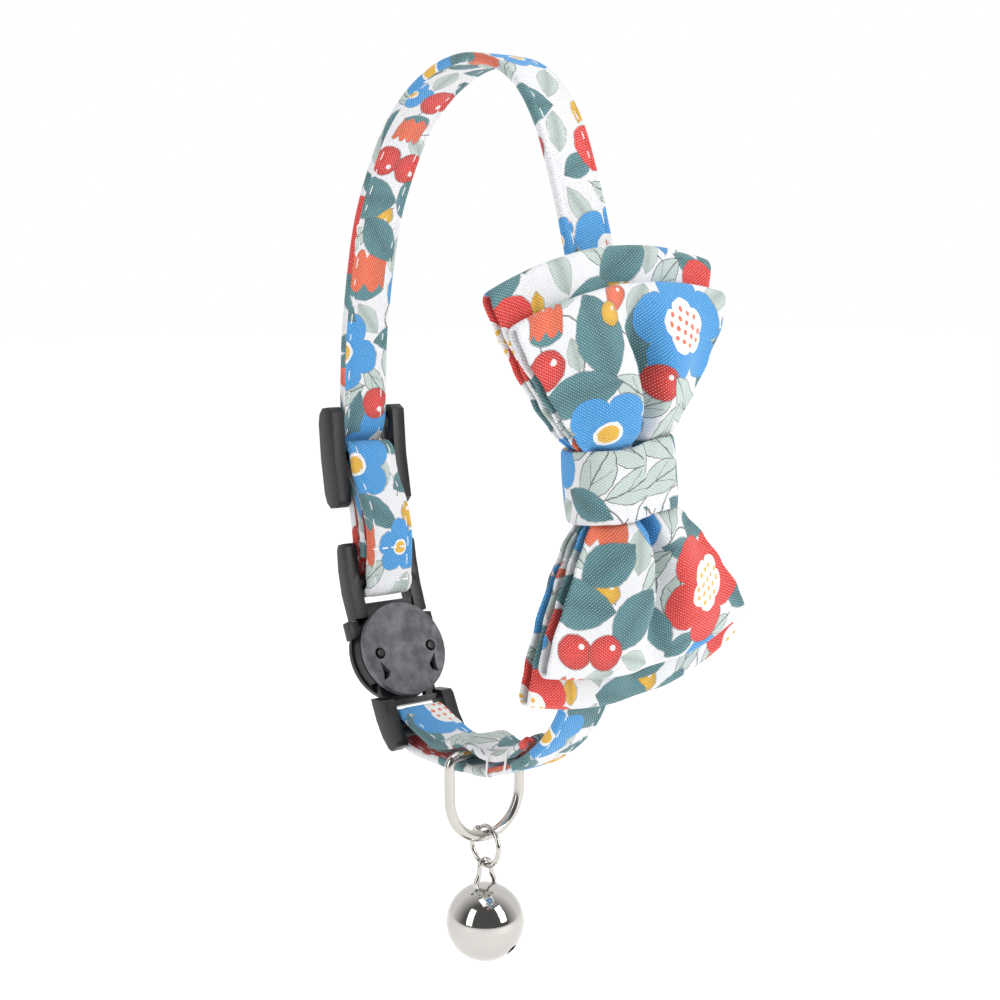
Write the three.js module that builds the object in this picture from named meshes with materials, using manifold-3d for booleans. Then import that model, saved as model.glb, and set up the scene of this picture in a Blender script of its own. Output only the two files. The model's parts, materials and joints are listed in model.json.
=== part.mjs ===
// Bow tie collar for a small pet: printed cotton strap with slider, breakaway buckle, D-ring, bell and bow.
// Millimetres, +Z up. The strap's loop lies in the XZ plane with its neck axis along Y, the bow on +X.
// The origin is the middle of the neck opening.
import * as THREE from "three";
import { mergeVertices } from "three/addons/utils/BufferGeometryUtils.js";
import Module from "manifold-3d";

const wasm = await Module();
wasm.setup();

// Strap
const STRAP_WIDTH = 8.6;
const STRAP_THICK = 1.5;
const GAP = 0.3;

// Slider: leans in the XZ plane by SLIDER_LEAN, its middle bar a little towards the neck
const SLIDER_X = -29.7, SLIDER_Z = -8.3, SLIDER_LEAN = 8;
const SLIDER_TALL = 16.6, SLIDER_DEEP = 4.2, SLIDER_WIDE = 14.4, SLIDER_RAIL = 2.4;
const SLIDER_BAR = 1.5;

// Buckle: its own axes are s along the strap (downwards) and n towards the neck
const BUCKLE_X = -19.7, BUCKLE_Z = -39.75, BUCKLE_LEAN = 24;
const DISC_R = 7.75, COVER_THICK = 1.3;
const SHELL_R = 8.1, SHELL_DEEP = 2.9;
const BAR_R = 0.85;
const UPPER_BAR_S = -12.2, UPPER_BAR_N = 0;
const LOWER_BAR_S = 12.2, LOWER_BAR_N = 0.6;
const RAIL_IN = 4.7, RAIL_OUT = 6.9;

// D-ring, jump ring and bell hang in one line at HANG_X
const HANG_X = 3.2, DRING_BAR_Z = -51.7;
const DRING_WIRE = 1.65, DRING_HALF = 6.8, DRING_DROP = 13.6;
const JUMP_WIRE = 0.78, JUMP_R = 3.06;
const BELL_R = 6.15, BELL_WALL = 0.55, BELL_LOOP_WIRE = 0.8, SLIT_TURN = 20;

// Bow: middle at BOW_Z on the strap, rolled a little about X
const BOW_Z = -6.2, BOW_Y = -1.2, BOW_ROLL = 4.5;
const CLOTH = 0.8;
const KNOT_TALL = 10.2, KNOT_CLOTH = 0.9;

const rad = THREE.MathUtils.degToRad;

// ---- helpers ---------------------------------------------------------------------------------------

// A closed grid of rings as one solid: rings[i][j] are points, the cross-section closes on itself.
function loftRings(rings, closed) {
  const n = rings.length, m = rings[0].length, pos = [], idx = [];
  for (const ring of rings) for (const p of ring) pos.push(p.x, p.y, p.z);
  const last = closed ? n : n - 1;
  for (let i = 0; i < last; i++) {
    const a = i * m, b = ((i + 1) % n) * m;
    for (let j = 0; j < m; j++) {
      const k = (j + 1) % m;
      idx.push(a + j, b + j, b + k, a + j, b + k, a + k);
    }
  }
  if (!closed) {
    for (let j = 1; j < m - 1; j++) {
      idx.push(0, j, j + 1);
      const e = (n - 1) * m;
      idx.push(e, e + j + 1, e + j);
    }
  }
  const geometry = new THREE.BufferGeometry();
  geometry.setAttribute("position", new THREE.Float32BufferAttribute(pos, 3));
  geometry.setIndex(idx);
  return outward(geometry);
}

// Turns every face over when the enclosed volume comes out negative.
function outward(geometry) {
  const p = geometry.attributes.position, idx = Array.from(geometry.index.array);
  const a = new THREE.Vector3(), b = new THREE.Vector3(), c = new THREE.Vector3();
  let volume = 0;
  for (let i = 0; i < idx.length; i += 3) {
    a.fromBufferAttribute(p, idx[i]);
    b.fromBufferAttribute(p, idx[i + 1]);
    c.fromBufferAttribute(p, idx[i + 2]);
    volume += a.dot(b.clone().cross(c));
  }
  if (volume < 0) {
    for (let i = 0; i < idx.length; i += 3) [idx[i + 1], idx[i + 2]] = [idx[i + 2], idx[i + 1]];
    geometry.setIndex(idx);
  }
  return geometry;
}

// A round wire along points, closed on itself or with flat ends.
function wire(points, radius, sides, closed) {
  const n = points.length, rings = [];
  let up = null;
  for (let i = 0; i < n; i++) {
    const before = closed ? points[(i + n - 1) % n] : points[Math.max(i - 1, 0)];
    const after = closed ? points[(i + 1) % n] : points[Math.min(i + 1, n - 1)];
    const t = after.clone().sub(before).normalize();
    if (!up) {
      up = new THREE.Vector3(1, 0, 0);
      if (Math.abs(up.dot(t)) > 0.8) up.set(0, 1, 0);
    }
    up = up.clone().sub(t.clone().multiplyScalar(up.dot(t))).normalize();
    const side = t.clone().cross(up);
    const ring = [];
    for (let j = 0; j < sides; j++) {
      const a = (2 * Math.PI * j) / sides;
      ring.push(points[i].clone().addScaledVector(up, radius * Math.cos(a)).addScaledVector(side, radius * Math.sin(a)));
    }
    rings.push(ring);
  }
  return loftRings(rings, closed);
}

// A cloth loop of the given thickness: surface(i, u) gives its middle surface, i runs round the loop.
function clothLoop(surface, stations, across, thickness) {
  const rings = [], d = 1e-3;
  for (let i = 0; i < stations; i++) {
    const s = i / stations, front = [], back = [];
    for (const u of across) {
      const p = surface(s, u);
      const ds = surface(s + d, u).sub(surface(s - d, u));
      const du = surface(s, u + d).sub(surface(s, u - d));
      const n = ds.cross(du).normalize().multiplyScalar(thickness / 2);
      front.push(p.clone().add(n));
      back.push(p.clone().sub(n));
    }
    rings.push(front.concat(back.reverse()));
  }
  return loftRings(rings, true);
}

function toManifold(geometry) {
  const g = geometry.clone();
  g.deleteAttribute("normal");
  g.deleteAttribute("uv");
  const merged = mergeVertices(g, 1e-4);
  return new wasm.Manifold(new wasm.Mesh({
    numProp: 3,
    vertProperties: new Float32Array(merged.attributes.position.array),
    triVerts: new Uint32Array(merged.index.array),
  }));
}

function fromManifold(solid) {
  const mesh = solid.getMesh();
  const geometry = new THREE.BufferGeometry();
  geometry.setAttribute("position", new THREE.Float32BufferAttribute(mesh.vertProperties, 3));
  geometry.setIndex(Array.from(mesh.triVerts));
  return geometry;
}

function joined(geometries) {
  return geometries.map(toManifold).reduce((a, b) => a.add(b));
}

// A flat outline in local (s, n) extruded across the strap between y0 and y1.
function slab(outline, y0, y1) {
  const shape = new THREE.Shape(outline.map(([s, n]) => new THREE.Vector2(s, n)));
  const g = new THREE.ExtrudeGeometry(shape, { depth: y1 - y0, bevelEnabled: false, steps: 1 });
  // shape x is s, shape y is n, depth is y
  const m = new THREE.Matrix4().makeBasis(
    new THREE.Vector3(0, 0, -1), new THREE.Vector3(1, 0, 0), new THREE.Vector3(0, -1, 0));
  g.applyMatrix4(m);
  g.translate(0, y1, 0);
  return g;
}

// A flat outline in local (s, y) between two heights n0 and n1.
function plate(outline, n0, n1, holes = []) {
  const shape = new THREE.Shape(outline.map(([s, y]) => new THREE.Vector2(s, y)));
  for (const hole of holes) shape.holes.push(new THREE.Path(hole.map(([s, y]) => new THREE.Vector2(s, y))));
  const g = new THREE.ExtrudeGeometry(shape, { depth: n1 - n0, bevelEnabled: false, steps: 1, curveSegments: 24 });
  // shape x is s, shape y is y, depth is n
  const m = new THREE.Matrix4().makeBasis(
    new THREE.Vector3(0, 0, -1), new THREE.Vector3(0, 1, 0), new THREE.Vector3(1, 0, 0));
  g.applyMatrix4(m);
  g.translate(n0, 0, 0);
  return g;
}

function circle(r, count, cs = 0, cy = 0) {
  return Array.from({ length: count }, (_, i) => {
    const a = (2 * Math.PI * i) / count;
    return [cs + r * Math.cos(a), cy + r * Math.sin(a)];
  });
}

// In local buckle and slider frames x is n (towards the neck), z is -s (up), y is across the strap.
function leaned(mesh, x, z, lean) {
  mesh.position.set(x, 0, z);
  mesh.rotation.y = -rad(lean);
  return mesh;
}

function toWorld(x0, z0, lean, s, n) {
  const c = Math.cos(rad(lean)), k = Math.sin(rad(lean));
  return [x0 + s * k + n * c, z0 - s * c + n * k];
}

// ---- materials -------------------------------------------------------------------------------------

const cotton = new THREE.MeshStandardMaterial({ name: "printed cotton", color: 0xe9e9ec, roughness: 0.85, metalness: 0 });
const plastic = new THREE.MeshStandardMaterial({ name: "black plastic", color: 0x2a2a2d, roughness: 0.55, metalness: 0 });
const nickel = new THREE.MeshStandardMaterial({ name: "plated steel", color: 0xc9c6c0, roughness: 0.18, metalness: 1 });

const collar = new THREE.Group();
function part(name, geometry, material) {
  const mesh = new THREE.Mesh(geometry, material);
  mesh.name = name;
  collar.add(mesh);
  return mesh;
}

// ---- strap -----------------------------------------------------------------------------------------

const arc = (cx, cz, r, a0, a1, n) => Array.from({ length: n + 1 }, (_, i) => {
  const a = rad(a0 + ((a1 - a0) * i) / n);
  return [cx + r * Math.cos(a), cz + r * Math.sin(a)];
});
const onSlider = (s, n) => toWorld(SLIDER_X, SLIDER_Z, SLIDER_LEAN, s, n);
const upperBar = toWorld(BUCKLE_X, BUCKLE_Z, BUCKLE_LEAN, UPPER_BAR_S, UPPER_BAR_N);
const lowerBar = toWorld(BUCKLE_X, BUCKLE_Z, BUCKLE_LEAN, LOWER_BAR_S, LOWER_BAR_N);
const sliderBar = onSlider(0, 0.5);
const wrap = BAR_R + GAP + STRAP_THICK / 2;
const sliderWrap = SLIDER_BAR / 2 + GAP + STRAP_THICK / 2;

const route = [
  // sewn lower end, inner layer, over the D-ring's bar
  [18.6, -46.0], [14.7, -48.75], [10.8, -50.35], [7, -50.55], [3.2, -49.75], [-0.5, -50.85], [-4.5, -51.75], [-9.2, -50.5],
  ...arc(...lowerBar, wrap, 62, 225, 8),
  // outer layer, under the D-ring's bar and round the neck
  [-13.9, -53.0], [-10.8, -53.95], [-6, -54.1], [0, -54.0], [3.2, -53.75], [7.5, -53.35], [11.5, -52.2], [15.7, -50.35],
  [19.7, -47.65], [23.7, -43.9], [27, -38.5], [29.1, -32.7], [29.9, -26], [30.0, -18.5], [29.9, -6.1], [29.8, 4],
  [29.3, 12.6], [28, 21], [25.9, 28.5], [23.4, 35.8], [20.2, 43], [15.9, 48.5], [10.6, 51.6], [5, 52.9], [-0.6, 52.7],
  [-6.1, 51.2], [-11.5, 48.5], [-16.6, 44.2], [-21.1, 38.3], [-24.9, 30.9], [-27.5, 22.2], [-29.2, 12.6], [-30.0, 4],
  // through the slider, outside its middle bar
  onSlider(-7.2, 0.6), onSlider(-4.7, -0.35), onSlider(-2.9, -1.95), onSlider(0, -3.15), onSlider(2.6, -2.75),
  onSlider(5, -0.95), onSlider(7.2, 0.6), [-27.1, -19.5], [-26.5, -24],
  ...arc(...upperBar, wrap, 195, 385, 9),
  // back up, round the slider's middle bar and down to the sewn upper end
  [-22.6, -23.5], [-22.75, -19.5], onSlider(7.2, 4.3), onSlider(5, 3.35), onSlider(2.4, 2.5),
  ...arc(...sliderBar, sliderWrap, 2, 190, 8),
  onSlider(2.6, -0.9), onSlider(5, 0.95), onSlider(7.2, 2.45), [-25.05, -18.5], [-24.5, -22], [-24.45, -24.4],
];

{
  const curve = new THREE.CatmullRomCurve3(route.map(([x, z]) => new THREE.Vector3(x, 0, z)), false, "centripetal");
  const points = [];
  for (let i = 0; i < route.length - 1; i++) {
    const length = Math.hypot(route[i + 1][0] - route[i][0], route[i + 1][1] - route[i][1]);
    const steps = Math.max(1, Math.ceil(length / 2.4));
    for (let k = 0; k < steps; k++) points.push(curve.getPoint((i + k / steps) / (route.length - 1)));
  }
  points.push(curve.getPoint(1));
  const rings = points.map((p, i) => {
    const a = points[Math.max(i - 1, 0)], b = points[Math.min(i + 1, points.length - 1)];
    const t = b.clone().sub(a).normalize();
    const n = new THREE.Vector3(-t.z, 0, t.x).multiplyScalar(STRAP_THICK / 2);
    const w = new THREE.Vector3(0, STRAP_WIDTH / 2, 0);
    return [p.clone().add(n).sub(w), p.clone().sub(n).sub(w), p.clone().sub(n).add(w), p.clone().add(n).add(w)];
  });
  part("strap", loftRings(rings, false), cotton);
}

// ---- slider ----------------------------------------------------------------------------------------

{
  const h = SLIDER_TALL / 2, d = SLIDER_DEEP / 2, out = SLIDER_WIDE / 2, inn = out - SLIDER_RAIL;
  // bowed side rail with rounded corners, in (s, n)
  const rail = [[-h + 0.9, -d + 0.5], [-h + 2.5, -d], [0, -d - 0.25], [h - 2.5, -d], [h - 0.9, -d + 0.5],
    [h, -d + 1.5], [h, d - 1], [h - 0.9, d + 0.1], [0, d - 0.3], [-h + 0.9, d + 0.1], [-h, d - 1], [-h, -d + 1.5]];
  const bar = (s, n, r) => slab(circle(r, 10, s, n), -inn - 0.6, inn + 0.6);
  const solid = joined([slab(rail, -out, -inn), slab(rail, inn, out), bar(0, 0.5, SLIDER_BAR / 2),
    bar(-h + 1.1, -1.3, 0.78), bar(h - 1.1, -1.3, 0.78)]);
  leaned(part("slider", fromManifold(solid), plastic), SLIDER_X, SLIDER_Z, SLIDER_LEAN);
}

// ---- buckle ----------------------------------------------------------------------------------------

{
  // Upper half: outer shell and ring wall of the round body, bridge, two side rails and the strap bar.
  const rail = [[-6.2, -2.6], [-11, -2.7], [-15, -2.0], [-18.2, -0.9], [-18.9, -0.2], [-18.7, 1.3], [-18, 1.8],
    [-15, 1.1], [-11, 0.5], [-6.2, 0.3]];
  const shell = plate(circle(SHELL_R, 40), -SHELL_DEEP, -SHELL_DEEP + 0.9);
  const wall = toManifold(plate(circle(DISC_R, 40), -SHELL_DEEP + 0.5, 0))
    .subtract(toManifold(plate(circle(DISC_R - 1.1, 40), -SHELL_DEEP + 0.9, 1)))
    .subtract(toManifold(plate([[1.5, -6.2], [12, -6.2], [12, 6.2], [1.5, 6.2]], -SHELL_DEEP + 0.9, 1)));
  const bridge = plate([[-9.9, -5.2], [-9.9, 5.2], [-6.4, 6.4], [-5.8, 0], [-6.4, -6.4]], -1.9, -0.1);
  const grip = (s, y) => plate([[s - 1.5, y - 0.9], [s + 1.5, y - 0.9], [s + 1.2, y + 0.9], [s - 1.2, y + 0.9]], -2.4, -0.5);
  const pin = (s, y) => plate(circle(0.62, 12, s, y), -SHELL_DEEP + 0.5, COVER_THICK + 0.5);
  const upper = joined([slab(rail, -RAIL_OUT, -RAIL_IN), slab(rail, RAIL_IN, RAIL_OUT), shell, bridge,
    slab(circle(BAR_R, 12, UPPER_BAR_S, UPPER_BAR_N), -RAIL_IN - 0.5, RAIL_IN + 0.5),
    grip(-4.6, 7.3), grip(-4.6, -7.3), pin(0.2, -5.0), pin(0.2, 5.0)]).add(wall)
    .subtract(toManifold(plate([[-11.4, -RAIL_IN], [-8.6, -RAIL_IN], [-8.6, RAIL_IN], [-11.4, RAIL_IN]], -2.5, 1)))
    .add(toManifold(slab(circle(BAR_R, 12, UPPER_BAR_S, UPPER_BAR_N), -RAIL_IN - 0.5, RAIL_IN + 0.5)));
  leaned(part("buckle_upper", fromManifold(upper), plastic), BUCKLE_X, BUCKLE_Z, BUCKLE_LEAN);

  // Lower half: bridge, two side rails, strap bar and two spring prongs that latch inside the round body.
  const lowRail = [[6.9, -1.5], [10.5, -1.4], [13.5, -0.8], [15.6, 0.2], [16.1, 0.9], [15.7, 2.7], [15, 3.0],
    [12, 2.2], [8.6, 2.0], [7.9, 1.6]];
  const low = joined([slab(lowRail, -RAIL_OUT, -RAIL_IN), slab(lowRail, RAIL_IN, RAIL_OUT),
    plate([[8.05, -5.2], [9.0, -5.2], [9.0, 5.2], [8.05, 5.2]], -1.5, 0.6),
    slab(circle(BAR_R, 12, LOWER_BAR_S, LOWER_BAR_N), -RAIL_IN - 0.5, RAIL_IN + 0.5),
    plate([[8.6, -5.3], [8.6, -3.2], [0.6, -3.0], [-0.6, -4.0], [1.6, -4.2], [2.4, -5.3]], -1.6, -0.5),
    plate([[8.6, 5.3], [2.4, 5.3], [1.6, 4.2], [-0.6, 4.0], [0.6, 3.0], [8.6, 3.2]], -1.6, -0.5)]);
  leaned(part("buckle_lower", fromManifold(low), plastic), BUCKLE_X, BUCKLE_Z, BUCKLE_LEAN);

  // Cover disc: two pin holes and two arrow-shaped latch windows.
  const arrow = (sign) => [[1.5, 5.4 * sign], [3.3, 3.9 * sign], [4.2, 4.2 * sign], [4.7, 5.4 * sign], [3.6, 5.2 * sign]];
  const cover = plate(circle(DISC_R, 40), 0.3, 0.3 + COVER_THICK,
    [circle(0.95, 14, 0.2, -5.0), circle(0.95, 14, 0.2, 5.0), arrow(1), arrow(-1)]);
  cover.deleteAttribute("normal");
  cover.deleteAttribute("uv");
  leaned(part("buckle_cover", mergeVertices(cover, 1e-4), plastic), BUCKLE_X, BUCKLE_Z, BUCKLE_LEAN);
}

// ---- D-ring, jump ring and bell --------------------------------------------------------------------

{
  // in the YZ plane: straight bar on top, straight legs, round bottom
  const r = 1.5, h = DRING_HALF, drop = DRING_DROP, pts = [];
  const push = (y, z) => pts.push(new THREE.Vector3(HANG_X, y, DRING_BAR_Z + z));
  for (const y of [-4.2, -2.1, 0, 2.1, 4.2]) push(y, 0);
  for (let i = 0; i <= 4; i++) push(h - r + r * Math.sin((i * Math.PI) / 8), -r + r * Math.cos((i * Math.PI) / 8));
  for (let i = 0; i <= 20; i++) {
    const a = (i * Math.PI) / 20;
    push(h * Math.cos(a), -(drop - 7.3) - 7.3 * Math.sin(a) ** 0.92);
  }
  for (let i = 4; i >= 0; i--) push(-h + r - r * Math.sin((i * Math.PI) / 8), -r + r * Math.cos((i * Math.PI) / 8));
  part("d_ring", wire(pts, DRING_WIRE / 2, 12, true), nickel);
}

const jumpTop = DRING_BAR_Z - DRING_DROP + DRING_WIRE / 2 + JUMP_WIRE / 2 + 0.15;
const jumpZ = jumpTop - JUMP_R;
{
  // an open ring whose two ends pass each other at the top
  const pts = [], turns = 30;
  for (let i = 0; i <= turns; i++) {
    const f = i / turns, a = rad(112 + 392 * f);
    pts.push(new THREE.Vector3(HANG_X + JUMP_R * Math.cos(a), (f - 0.403) * 1.15, jumpZ + JUMP_R * Math.sin(a)));
  }
  part("jump_ring", wire(pts, JUMP_WIRE / 2, 10, false), nickel);
}

{
  const loopTop = jumpZ - JUMP_R + JUMP_WIRE / 2 + BELL_LOOP_WIRE / 2 + 0.15;
  const bellZ = loopTop - 10.15;
  const ball = (r, n) => toManifold(new THREE.SphereGeometry(r, n, n / 2));
  const shell = ball(BELL_R, 32).subtract(ball(BELL_R - BELL_WALL, 24));
  const slit = new THREE.BoxGeometry(2 * BELL_R * 0.8, 0.8, BELL_R);
  slit.translate(0, 0, -BELL_R * 1.05);
  slit.rotateZ(rad(SLIT_TURN));
  const eye = (sign) => {
    const g = new THREE.CylinderGeometry(0.95, 0.95, BELL_R, 16);
    g.rotateZ(Math.PI / 2);
    g.translate(BELL_R, 0, 0);
    g.rotateY(rad(36));
    if (sign < 0) g.rotateZ(Math.PI);
    g.rotateZ(rad(SLIT_TURN));
    return toManifold(g);
  };
  // bent wire loop in the YZ plane, its two feet spread on the crown
  const loop = [[-1.75, 5.75], [-1.9, 6.3], [-1.75, 6.9], [-1.25, 7.7], [-1.1, 8.8], [-0.95, 9.6], [-0.5, 10.05], [0, 10.15],
    [0.5, 10.05], [0.95, 9.6], [1.1, 8.8], [1.25, 7.7], [1.75, 6.9], [1.9, 6.3], [1.75, 5.75]]
    .map(([y, z]) => new THREE.Vector3(0, y, z));
  const bell = shell.subtract(toManifold(slit)).subtract(eye(1)).subtract(eye(-1))
    .add(toManifold(wire(loop, BELL_LOOP_WIRE / 2, 10, false)));
  part("bell", fromManifold(bell), nickel).position.set(HANG_X, 0, bellZ);
}

// ---- bow -------------------------------------------------------------------------------------------

// Each layer is a loop of cloth: a front sheet and a back sheet joined by a round fold at each wing end.
// Columns: [distance from the middle as a share of the wing, front x, back x, front pleat, back pleat, half width]
const FRONT_LAYER = { length: 26.4, corner: 3.2, rows: [
  [0.00, 34.65, 33.55, 1.5, 1.0, 8.3], [0.21, 34.7, 33.6, 1.6, 1.05, 8.4], [0.32, 35.0, 33.75, 2.7, 1.3, 10.2],
  [0.45, 35.6, 34.1, 3.9, 1.7, 12.3], [0.65, 36.2, 34.5, 3.6, 1.7, 15.0], [0.85, 36.6, 34.8, 2.2, 1.0, 17.6],
  [1.00, 36.6, 34.9, 1.1, 0.7, 18.8]] };
const BACK_LAYER = { length: 31.4, corner: 3.8, rows: [
  [0.00, 32.45, 31.4, 0.6, 0.2, 8.2], [0.18, 32.5, 31.45, 0.65, 0.2, 8.3], [0.30, 32.7, 31.5, 0.9, 0.3, 11.0],
  [0.45, 32.9, 31.6, 1.1, 0.3, 13.4], [0.65, 33.2, 31.5, 1.0, 0.3, 16.2], [0.85, 33.3, 31.4, 0.8, 0.3, 18.6],
  [1.00, 33.2, 31.3, 0.5, 0.3, 19.8]] };

function column(rows, share, k) {
  const f = Math.min(Math.abs(share), 1);
  let i = 0;
  while (i < rows.length - 2 && f > rows[i + 1][0]) i++;
  const t = (f - rows[i][0]) / (rows[i + 1][0] - rows[i][0]);
  const e = t * t * (3 - 2 * t) * 0.5 + t * 0.5;
  return rows[i][k] + (rows[i + 1][k] - rows[i][k]) * e;
}

// M-shaped pleat: a valley in the middle between two ridges, falling to the side edges.
function pleat(u) {
  const a = Math.abs(u), ridge = 0.3;
  if (a < ridge) return (1 - Math.cos((Math.PI * a) / ridge)) / 2;
  return 0.15 + (0.85 * (1 + Math.cos((Math.PI * (a - ridge)) / (1 - ridge)))) / 2;
}

function bowSurface(layer) {
  const fold = 0.1;
  return (s, u) => {
    // s: 0..0.5 front sheet from the upper fold to the lower fold, 0.5..1 the back sheet on its way up
    const q = ((s % 1) + 1) % 1;
    const half = q < 0.5 ? q * 2 : (q - 0.5) * 2;
    const down = q < 0.5 ? 1 : -1;
    const length = layer.length - layer.corner * u * u;
    let share, side;
    if (half < fold / 2) { share = 1; side = Math.PI / 2 - (half / (fold / 2)) * (Math.PI / 2); }
    else if (half > 1 - fold / 2) { share = -1; side = ((half - (1 - fold / 2)) / (fold / 2)) * (Math.PI / 2); }
    else { share = 1 - (2 * (half - fold / 2)) / (1 - fold); side = 0; }
    share *= down;
    const front = column(layer.rows, share, 1) + column(layer.rows, share, 3) * pleat(u);
    const back = column(layer.rows, share, 2) + column(layer.rows, share, 4) * pleat(u);
    const w = column(layer.rows, share, 5);
    const mid = (front + back) / 2, r = (front - back) / 2;
    const x = mid + down * r * Math.cos(side);
    const z = share * (length - r) + Math.sign(share) * r * Math.sin(side);
    return new THREE.Vector3(x, u * w, z);
  };
}

function bowPart(name, geometry) {
  geometry.rotateX(rad(BOW_ROLL));
  geometry.translate(0, BOW_Y, BOW_Z);
  return part(name, geometry, cotton);
}

const ACROSS = [-1, -0.66, -0.3, -0.15, 0, 0.15, 0.3, 0.66, 1];
bowPart("bow_back", clothLoop(bowSurface(BACK_LAYER), 60, ACROSS, CLOTH));
bowPart("bow_front", clothLoop(bowSurface(FRONT_LAYER), 60, ACROSS, CLOTH));

{
  // Knot: a band round the waist of both layers and the strap, a little swollen in the middle of its height.
  const rings = [], count = 44, front = 38.2, back = 27.7, wide = 9.85, power = 3.6;
  for (let i = 0; i < count; i++) {
    const a = (2 * Math.PI * i) / count, c = Math.cos(a), s = Math.sin(a);
    const ring = [];
    for (const [inset, z] of [[0, -0.5], [-0.15, -0.3], [-0.3, 0], [-0.15, 0.3], [0, 0.5], [KNOT_CLOTH, 0.5], [KNOT_CLOTH, 0], [KNOT_CLOTH, -0.5]]) {
      const k = (Math.abs(c) ** power + Math.abs(s) ** power) ** (-1 / power);
      ring.push(new THREE.Vector3((front + back) / 2 + ((front - back) / 2 - inset) * k * c, (wide - inset) * k * s, z * KNOT_TALL));
    }
    rings.push(ring);
  }
  bowPart("bow_knot", loftRings(rings, true));
}

export default collar;
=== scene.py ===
import json
import math
import bmesh
import bpy
from mathutils import Matrix, Vector, noise

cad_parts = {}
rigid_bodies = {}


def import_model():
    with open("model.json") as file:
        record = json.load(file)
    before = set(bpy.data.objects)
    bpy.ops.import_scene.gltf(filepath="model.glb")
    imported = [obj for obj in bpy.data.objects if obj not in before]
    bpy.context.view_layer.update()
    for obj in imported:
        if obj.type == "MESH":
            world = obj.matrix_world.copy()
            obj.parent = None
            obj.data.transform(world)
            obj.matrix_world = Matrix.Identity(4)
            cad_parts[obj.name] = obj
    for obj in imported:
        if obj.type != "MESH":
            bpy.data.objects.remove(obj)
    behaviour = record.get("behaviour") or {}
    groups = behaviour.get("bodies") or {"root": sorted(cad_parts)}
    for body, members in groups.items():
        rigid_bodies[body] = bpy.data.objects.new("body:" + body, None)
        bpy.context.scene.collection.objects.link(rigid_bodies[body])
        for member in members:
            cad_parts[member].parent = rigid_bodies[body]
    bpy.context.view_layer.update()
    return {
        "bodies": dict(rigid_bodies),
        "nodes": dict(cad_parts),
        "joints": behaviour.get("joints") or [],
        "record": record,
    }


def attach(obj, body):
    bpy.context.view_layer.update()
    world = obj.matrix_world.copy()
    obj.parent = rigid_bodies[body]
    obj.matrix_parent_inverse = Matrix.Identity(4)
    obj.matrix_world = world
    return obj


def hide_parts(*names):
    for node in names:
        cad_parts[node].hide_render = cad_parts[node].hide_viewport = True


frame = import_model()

MM = 0.001

# Stage: a plain pale floor under the hanging collar, a wide soft light on each side, a top light, and the
# camera a little above the bow's height, looking past the near edge of the loop.
camera = bpy.data.objects.new("camera", bpy.data.cameras.new("camera"))
bpy.context.scene.collection.objects.link(camera)
camera.location = Vector((204.5, -154.3, 21.3)) * MM
camera.rotation_euler = Vector((-0.7812, 0.6103, -0.1316)).to_track_quat("-Z", "Y").to_euler()
camera.data.sensor_width = 36
camera.data.lens = 60.5
camera.data.clip_start = 0.01
bpy.context.scene.camera = camera
bpy.context.scene.view_settings.view_transform = "Standard"

floor_mesh = bpy.data.meshes.new("floor")
view, floor_z = Vector((-0.788, 0.616, 0)), -0.135
floor_mesh.from_pydata([(-4, -4, floor_z), (4, -4, floor_z), (4, 4, floor_z), (-4, 4, floor_z)], [], [(0, 1, 2, 3)])
floor = bpy.data.objects.new("floor", floor_mesh)
bpy.context.scene.collection.objects.link(floor)
floor_paint = bpy.data.materials.new("pale floor")
floor_paint.use_nodes = True
floor_paint.node_tree.nodes["Principled BSDF"].inputs["Base Color"].default_value = (0.55, 0.55, 0.55, 1)
floor_paint.node_tree.nodes["Principled BSDF"].inputs["Roughness"].default_value = 0.9
floor_paint.node_tree.nodes["Principled BSDF"].inputs["Emission Color"].default_value = (1, 1, 1, 1)
floor_paint.node_tree.nodes["Principled BSDF"].inputs["Emission Strength"].default_value = 0.68
floor_mesh.materials.append(floor_paint)

world = bpy.data.worlds.new("studio")
world.use_nodes = True
bpy.context.scene.world = world
# a white backdrop beyond the collar, darkening to a dim room behind the camera
nodes, links = world.node_tree.nodes, world.node_tree.links
facing = nodes.new("ShaderNodeVectorMath")
facing.operation = "DOT_PRODUCT"
facing.inputs[1].default_value = view
links.new(nodes.new("ShaderNodeTexCoord").outputs["Generated"], facing.inputs[0])
fade = nodes.new("ShaderNodeMapRange")
for key, value in (("From Min", -0.35), ("From Max", 0.45), ("To Min", 0.12), ("To Max", 1.0)):
    fade.inputs[key].default_value = value
links.new(facing.outputs["Value"], fade.inputs["Value"])
links.new(fade.outputs["Result"], nodes["Background"].inputs["Strength"])
nodes["Background"].inputs["Color"].default_value = (1, 1, 1, 1)


def softbox(name, place, wide, tall, watts):
    data = bpy.data.lights.new(name, "AREA")
    data.shape, data.size, data.size_y, data.energy = "RECTANGLE", wide, tall, watts
    lamp = bpy.data.objects.new(name, data)
    bpy.context.scene.collection.objects.link(lamp)
    lamp.location = place
    lamp.rotation_euler = (Vector((0, 0, -0.01)) - Vector(place)).to_track_quat("-Z", "Y").to_euler()


softbox("light_left", (0.05, -0.62, 0.22), 0.22, 0.56, 1.2)
softbox("light_right", (0.58, 0.22, 0.30), 0.24, 0.56, 3.0)
softbox("light_top", (0.10, -0.02, 0.75), 0.5, 0.5, 1.7)


# Strap: one length of printed plain-weave cotton, folded to two thick layers about 8.6 mm wide and stitched
# along both edges. It wraps both buckle bars and the slider's middle bar, and each end is sewn down.
STRAP_WIDTH, STRAP_THICK, GAP = 8.6, 1.5, 0.3
SLIDER_AT, SLIDER_LEAN = (-29.7, -8.3), 8
BUCKLE_AT, BUCKLE_LEAN = (-19.7, -39.75), 24


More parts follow.
